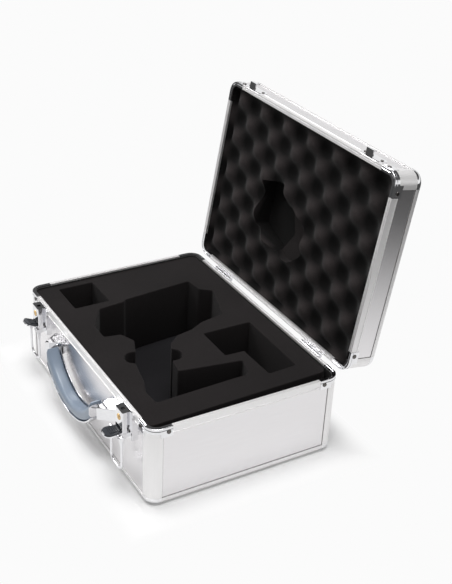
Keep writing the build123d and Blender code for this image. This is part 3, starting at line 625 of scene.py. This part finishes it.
def flatCurveMesh(name, loops, depth, bevel):
    curve = bpy.data.curves.new(name, "CURVE")
    curve.dimensions = "2D"
    curve.fill_mode = "BOTH"
    curve.extrude = depth / 2 - bevel
    curve.bevel_depth = bevel
    curve.bevel_resolution = 2
    curve.offset = -bevel
    for loop in loops:
        spline = curve.splines.new("POLY")
        spline.points.add(len(loop) - 1)
        for point, place in zip(spline.points, loop):
            point.co = (place[0], place[1], 0, 1)
        spline.use_cyclic_u = True
    holder = bpy.data.objects.new(name, curve)
    sceneRoot.collection.objects.link(holder)
    bpy.context.view_layer.update()
    mesh = bpy.data.meshes.new_from_object(holder.evaluated_get(bpy.context.evaluated_depsgraph_get()))
    bpy.data.objects.remove(holder)
    return mesh


trayCut = {
    "pocket": [
        (-88.9, -24.2), (-92.7, -20.9), (-101.5, 70), (-77.7, 72.7), (-67.4, 86.4),
        (-12.7, 68.6), (-6.8, 37.6), (3.1, 18.8), (7.5, -2.1), (20.3, -17.4),
        (56.8, -33.7), (74.8, -36.5), (86.7, 37.9), (112.5, 29.5), (115.8, -63.1),
        (117.1, -84.3), (94.4, -85.6), (76.8, -78.8), (40.5, -71.2), (20.5, -61.5),
        (-4.2, -51.7), (-22.3, -59.9), (-25.6, -79.3), (-50.3, -79.6), (-85.1, -58.4),
    ],
    "fingers": [(42, -27), (29, -67)],
    "fingerRadius": 11.5,
    "corner": [(17.8, 26.5), (18.2, 88), (120.5, 86.5), (122, 51), (70, 50), (69, 26)],
    "square": [(-150, -83.5), (-99, -83.5), (-99, -39.5), (-150, -39.5)],
    "round": 2.2,
    "edge": 0.9,
    "outerRound": 9.0,
    "backTaper": 6.0,
    "outlineStep": 0.5,
    "evenStep": 1.0,
    "softPasses": 3,
}


def makeTray():
    low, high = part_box("base_foam_tray")
    x0, x1 = low.x / mm, high.x / mm
    y0, y1 = low.y / mm, high.y / mm
    outline = [(x0, y0), (x1, y0), (x1 - trayCut["backTaper"], y1), (x0, y1)]
    outer = roundedLoop(outline, trayCut["outerRound"])
    pocket = evenLoop(roundedLoop(trayCut["pocket"], trayCut["round"]), trayCut["outlineStep"])
    for centre in trayCut["fingers"]:
        pocket = joinCircle(pocket, centre, trayCut["fingerRadius"])
    loops = [outer, softened(evenLoop(pocket, trayCut["evenStep"]), trayCut["softPasses"])]
    for name in ["corner", "square"]:
        loops.append(roundedLoop(trayCut[name], trayCut["round"]))
    depth = (high.z - low.z) / mm
    mesh = flatCurveMesh("foamTray", loops, depth, trayCut["edge"])
    mesh.transform(Matrix.Translation((0, 0, (high.z + low.z) / 2)) @ Matrix.Scale(mm, 4))
    tray = linkPiece("foamTray", mesh, "foamDark", "base", ["base_foam_tray"])
    return tray


floorFoam = {"cornerRound": 0.0094, "cornerSteps": 5, "rimRound": 0.0012, "rimSteps": 3}


def roundEdges(solid, edges, radius, steps):
    bmesh.ops.bevel(solid, geom=edges, offset=radius, offset_type="OFFSET", segments=steps,
                    profile=0.5, affect="EDGES", material=-1)


def makeFloorSheet():
    low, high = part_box("base_foam_floor")
    solid = bmesh.new()
    bmesh.ops.create_cube(solid, size=1.0)
    bmesh.ops.scale(solid, vec=high - low, verts=solid.verts)
    bmesh.ops.translate(solid, vec=(high + low) / 2, verts=solid.verts)
    upright = [e for e in solid.edges if abs(e.verts[0].co.z - e.verts[1].co.z) > mm]
    roundEdges(solid, upright, floorFoam["cornerRound"], floorFoam["cornerSteps"])
    rim = [e for e in solid.edges if e.calc_face_angle(0) > 1.0]
    roundEdges(solid, rim, floorFoam["rimRound"], floorFoam["rimSteps"])
    mesh = bpy.data.meshes.new("foamFloor")
    solid.to_mesh(mesh)
    solid.free()
    piece = linkPiece("foamFloor", mesh, "foamSheet", "base", ["base_foam_floor"])
    return piece


makeTray()
makeFloorSheet()
print("base foam cut")

# The lid foam is modelled closed and then opened about the hinge
eggCrate = {
    "pitch": (50.2, 46.76),
    "phase": (-14.7, -2.9),
    "depth": 11.0,
    "grid": 2.0,
    "body": [(-70, 36), (-66, -22), (-22, -32), (-14, -10), (0, 22), (-20, 53)],
    "bodyDepth": 26.0,
    "wheel": (-1.0, 22.0, 33.0),
    "wheelDepth": 17.0,
    "edgeFade": 3.5,
    "cornerRound": 8.6,
    "cutMargin": 4.0,
    "bodyRound": 4.0,
    "bodyEdge": 0.3,
    "wheelSides": 72,
    "sharpAngle": 40,
    # Painted shade value for the floor of the wheel recess
    "discShade": 0.35,
    "discMargin": 1.0,
    "discDepthNear": 0.5,
}
closedTop = 133.3
closedFace = 101.0
sideInset = 5.4
caseHalfMm = (165.0, 115.75)


def pitShare(x, y):
    pitchX, pitchY = eggCrate["pitch"]
    phaseX, phaseY = eggCrate["phase"]
    wave = math.cos(2 * math.pi * (x - phaseX) / pitchX) * math.cos(2 * math.pi * (y - phaseY) / pitchY)
    return 0.5 + 0.5 * wave


def eggHeight(x, y, halfX, halfY):
    pit = pitShare(x, y)
    room = max(0.0, min(halfX - abs(x), halfY - abs(y)) / eggCrate["edgeFade"])
    if room < 1:
        pit *= room * room * (3 - 2 * room)
    return closedFace + eggCrate["depth"] * pit


def roundCorner(x, y, halfX, halfY, radius):
    side = Vector((abs(x) - halfX + radius, abs(y) - halfY + radius))
    if min(side) <= 0 or side.length <= radius:
        return x, y
    side *= radius / side.length
    return math.copysign(halfX - radius + side.x, x), math.copysign(halfY - radius + side.y, y)


# Painted shade: how deep each point of the foam lies, which its finish reads to darken the pits and the recess
# floors; the wheel recess floor gets a fixed, lighter shade value
def paintPitShade(mesh):
    shadeByPoint = mesh.attributes.new("pitDepth", "FLOAT", "POINT")
    wheelX, wheelY, radius = eggCrate["wheel"]
    for index, vert in enumerate(mesh.vertices):
        depth = max((vert.co.z - closedFace) / eggCrate["depth"], pitShare(vert.co.x, vert.co.y))
        away = math.hypot(vert.co.x - wheelX, vert.co.y - wheelY)
        floorGap = abs(vert.co.z - closedFace - eggCrate["wheelDepth"])
        onDisc = away < radius + eggCrate["discMargin"] and floorGap < eggCrate["discDepthNear"]
        shadeByPoint.data[index].value = eggCrate["discShade"] if onDisc else min(1.0, depth)


def openLid(mesh):
    pivot = Vector(joints["lid_hinge"]["pos_m"])
    turn = Matrix.Rotation(math.radians(-lidAngle), 4, "X")
    mesh.transform(Matrix.Translation(pivot) @ turn @ Matrix.Translation(-pivot))


def boolCut(target, cutterMesh):
    cutter = bpy.data.objects.new("cutter", cutterMesh)
    sceneRoot.collection.objects.link(cutter)
    cut = target.modifiers.new("cut", "BOOLEAN")
    cut.object = cutter
    cut.operation = "DIFFERENCE"
    cut.solver = "EXACT"
    bpy.context.view_layer.update()
    result = bpy.data.meshes.new_from_object(target.evaluated_get(bpy.context.evaluated_depsgraph_get()))
    target.modifiers.clear()
    target.data = result
    bpy.data.objects.remove(cutter)


def makeLidFoam():
    halfX = caseHalfMm[0] - sideInset
    halfY = caseHalfMm[1] - sideInset
    crate = bmesh.new()
    stepsX = int(2 * halfX / eggCrate["grid"])
    stepsY = int(2 * halfY / eggCrate["grid"])
    bmesh.ops.create_grid(crate, x_segments=stepsX, y_segments=stepsY, size=1.0)
    for vert in crate.verts:
        x, y = vert.co.x * halfX, vert.co.y * halfY
        height = eggHeight(x, y, halfX, halfY)
        vert.co = (*roundCorner(x, y, halfX, halfY, eggCrate["cornerRound"]), height)
    rim = [e for e in crate.edges if e.is_boundary]
    grown = bmesh.ops.extrude_edge_only(crate, edges=rim)
    for item in grown["geom"]:
        if isinstance(item, bmesh.types.BMVert):
            item.co.z = closedTop
    back = [e for e in crate.edges if e.is_boundary]
    bmesh.ops.contextual_create(crate, geom=back)
    bmesh.ops.recalc_face_normals(crate, faces=crate.faces)
    mesh = bpy.data.meshes.new("lidFoam")
    crate.to_mesh(mesh)
    crate.free()
    target = bpy.data.objects.new("lidFoamShape", mesh)
    sceneRoot.collection.objects.link(target)
    low = closedFace - eggCrate["cutMargin"]
    bodyDepth = eggCrate["bodyDepth"] + eggCrate["cutMargin"]
    outline = roundedLoop(eggCrate["body"], eggCrate["bodyRound"])
    body = flatCurveMesh("bodyCut", [outline], bodyDepth, eggCrate["bodyEdge"])
    body.transform(Matrix.Translation((0, 0, low + bodyDepth / 2)))
    boolCut(target, body)
    x, y, radius = eggCrate["wheel"]
    wheel = bmesh.new()
    depth = eggCrate["wheelDepth"] + eggCrate["cutMargin"]
    bmesh.ops.create_cone(
        wheel, cap_ends=True, segments=eggCrate["wheelSides"], radius1=radius, radius2=radius, depth=depth,
    )
    bmesh.ops.translate(wheel, vec=(x, y, low + depth / 2), verts=wheel.verts)
    wheelMesh = bpy.data.meshes.new("wheelCut")
    wheel.to_mesh(wheelMesh)
    wheel.free()
    boolCut(target, wheelMesh)
    mesh = target.data
    bpy.data.objects.remove(target)
    paintPitShade(mesh)
    mesh.transform(Matrix.Scale(mm, 4))
    openLid(mesh)
    for face in mesh.polygons:
        face.use_smooth = True
    mesh.set_sharp_from_angle(angle=math.radians(eggCrate["sharpAngle"]))
    piece = linkPiece("lidFoam", mesh, "foamLid", "lid", ["lid_foam"])
    return piece


makeLidFoam()
print("lid foam cut")


# Floor, light and world
stage = {
    "floorSize": 30.0,
    "floorTone": 0.84,
    "floorLift": 0.05,
    "floorFar": 0.965,
    "seenFade": (0.002, 0.045),
    "mirroredFade": (-0.03, 0.10),
    "sheetEnd": (0.35, 0.90),
    "beyondSheet": 0.08,
    "air": 0.36,
    "floorGap": 0.0002,
    "aimPoint": (0, 0, 0.08),
}
lamps = {
    "topSoftbox": {"place": (0.15, 0.0, 1.5), "size": 0.9, "power": 20.0},
    "leftSoftbox": {"place": (-0.95, -0.55, 1.0), "size": 0.45, "power": 6.0},
}
# What metal sees of the studio, by the sine of the height above the horizon
studioBands = [(-1.0, 0.95), (0.34, 0.95), (0.42, 0.10), (0.74, 0.08), (0.82, 0.9), (1.0, 0.9)]


# One for camera, glossy and transmission rays, nought for the light that falls on things
def seenRays(tree, x, y):
    path = addNode(tree, "ShaderNodeLightPath", x, y)
    first = addNode(tree, "ShaderNodeMath", x + 200, y, operation="MAXIMUM")
    second = addNode(tree, "ShaderNodeMath", x + 400, y, operation="MAXIMUM")
    tree.links.new(path.outputs["Is Camera Ray"], first.inputs[0])
    tree.links.new(path.outputs["Is Glossy Ray"], first.inputs[1])
    tree.links.new(first.outputs[0], second.inputs[0])
    tree.links.new(path.outputs["Is Transmission Ray"], second.inputs[1])
    return second.outputs[0]


def makeFloorMaterial():
    material, tree, shader, vector = startMaterial("paleFloor")
    out = [n for n in tree.nodes if n.type == "OUTPUT_MATERIAL"][0]
    tone = stage["floorTone"]
    shader.inputs["Base Color"].default_value = colour(tone, tone, tone)
    shader.inputs["Roughness"].default_value = 0.9
    shader.inputs["Specular IOR Level"].default_value = 0.1
    foot = placeGroup(tree, seamLine, vector, -600, 200, **{"Half": (*caseHalf, wide)})
    fades = []
    for name, y in [("mirroredFade", 200), ("seenFade", 0)]:
        near, far = stage[name]
        fade = addNode(tree, "ShaderNodeMapRange", -400, y, interpolation_type="SMOOTHSTEP")
        setInputs(fade, {"From Min": -near, "From Max": -far})
        tree.links.new(foot.outputs["Inside"], fade.inputs["Value"])
        fades.append(fade.outputs["Result"])
    path = addNode(tree, "ShaderNodeLightPath", -400, 500)
    fade = addNode(tree, "ShaderNodeMix", -200, 200)
    tree.links.new(path.outputs["Is Camera Ray"], fade.inputs["Factor"])
    tree.links.new(fades[0], fade.inputs["A"])
    tree.links.new(fades[1], fade.inputs["B"])
    seen = seenRays(tree, -900, -400)
    lift = addNode(tree, "ShaderNodeMath", 0, -300, operation="MULTIPLY")
    lift.inputs[1].default_value = stage["floorLift"]
    tree.links.new(seen, lift.inputs[0])
    glow = addNode(tree, "ShaderNodeEmission", 300, -300)
    tree.links.new(lift.outputs[0], glow.inputs["Strength"])
    lit = addNode(tree, "ShaderNodeAddShader", 900, 0)
    tree.links.new(shader.outputs[0], lit.inputs[0])
    tree.links.new(glow.outputs[0], lit.inputs[1])
    white = addNode(tree, "ShaderNodeEmission", 900, -300)
    share = addNode(tree, "ShaderNodeMath", 600, -500, operation="MULTIPLY")
    tree.links.new(fade.outputs["Result"], share.inputs[0])
    tree.links.new(seen, share.inputs[1])
    pick = addNode(tree, "ShaderNodeMixShader", 1100, 0)
    tree.links.new(share.outputs[0], pick.inputs["Fac"])
    tree.links.new(lit.outputs[0], pick.inputs[1])
    tree.links.new(white.outputs[0], pick.inputs[2])
    tree.links.new(pick.outputs[0], out.inputs["Surface"])
    aside = addNode(tree, "ShaderNodeVectorMath", -600, -700, operation="LENGTH")
    tree.links.new(vector, aside.inputs[0])
    ending = addNode(tree, "ShaderNodeMapRange", -400, -700, interpolation_type="SMOOTHSTEP")
    start, end = stage["sheetEnd"]
    setInputs(ending, {"From Min": start, "From Max": end})
    setInputs(ending, {"To Min": stage["floorFar"], "To Max": stage["beyondSheet"]})
    tree.links.new(aside.outputs["Value"], ending.inputs["Value"])
    strength = addNode(tree, "ShaderNodeMix", 600, -700)
    strength.inputs["B"].default_value = stage["floorFar"]
    tree.links.new(path.outputs["Is Camera Ray"], strength.inputs["Factor"])
    tree.links.new(ending.outputs["Result"], strength.inputs["A"])
    tree.links.new(strength.outputs["Result"], white.inputs["Strength"])
    return material


def addFloor():
    ground = bmesh.new()
    bmesh.ops.create_grid(ground, x_segments=1, y_segments=1, size=stage["floorSize"] / 2)
    mesh = bpy.data.meshes.new("paleFloor")
    ground.to_mesh(mesh)
    ground.free()
    floor = bpy.data.objects.new("paleFloor", mesh)
    sceneRoot.collection.objects.link(floor)
    floor.location.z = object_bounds()[0][2] - stage["floorGap"]
    mesh.materials.append(makeFloorMaterial())


def addAreaLight(name, lamp):
    data = bpy.data.lights.new(name, "AREA")
    data.shape = "SQUARE"
    data.size = lamp["size"]
    data.energy = lamp["power"]
    holder = bpy.data.objects.new(name, data)
    sceneRoot.collection.objects.link(holder)
    holder.location = lamp["place"]
    aim = Vector(stage["aimPoint"]) - Vector(lamp["place"])
    holder.rotation_mode = "QUATERNION"
    holder.rotation_quaternion = aim.to_track_quat("-Z", "Y")


def addWorld():
    world = bpy.data.worlds.new("studioAir")
    sceneRoot.world = world
    world.use_nodes = True
    tree = world.node_tree
    tree.nodes.clear()
    out = addNode(tree, "ShaderNodeOutputWorld", 1300)
    coords = addNode(tree, "ShaderNodeTexCoord", -600)
    split = addNode(tree, "ShaderNodeSeparateXYZ", -400)
    tree.links.new(coords.outputs["Generated"], split.inputs[0])
    place = addNode(tree, "ShaderNodeMapRange", -200)
    setInputs(place, {"From Min": -1.0, "From Max": 1.0})
    tree.links.new(split.outputs["Z"], place.inputs["Value"])
    bands = addNode(tree, "ShaderNodeValToRGB", 0)
    stops = bands.color_ramp.elements
    while len(stops) > 1:
        stops.remove(stops[0])
    for index, (height, tone) in enumerate(studioBands):
        at = height / 2 + 0.5
        stop = stops[0] if index == 0 else stops.new(at)
        stop.position = at
        stop.color = colour(tone, tone, tone)
    tree.links.new(place.outputs["Result"], bands.inputs["Fac"])
    mirrored = addNode(tree, "ShaderNodeBackground", 500, -100)
    tree.links.new(bands.outputs["Color"], mirrored.inputs["Color"])
    air = addNode(tree, "ShaderNodeBackground", 500, 100)
    air.inputs["Strength"].default_value = stage["air"]
    pick = addNode(tree, "ShaderNodeMixShader", 900)
    tree.links.new(seenRays(tree, 0, 400), pick.inputs["Fac"])
    tree.links.new(air.outputs[0], pick.inputs[1])
    tree.links.new(mirrored.outputs[0], pick.inputs[2])
    tree.links.new(pick.outputs[0], out.inputs["Surface"])


addFloor()
for lampName, lampLook in lamps.items():
    addAreaLight(lampName, lampLook)
addWorld()
sceneRoot.view_settings.view_transform = "Standard"
print("stage set")
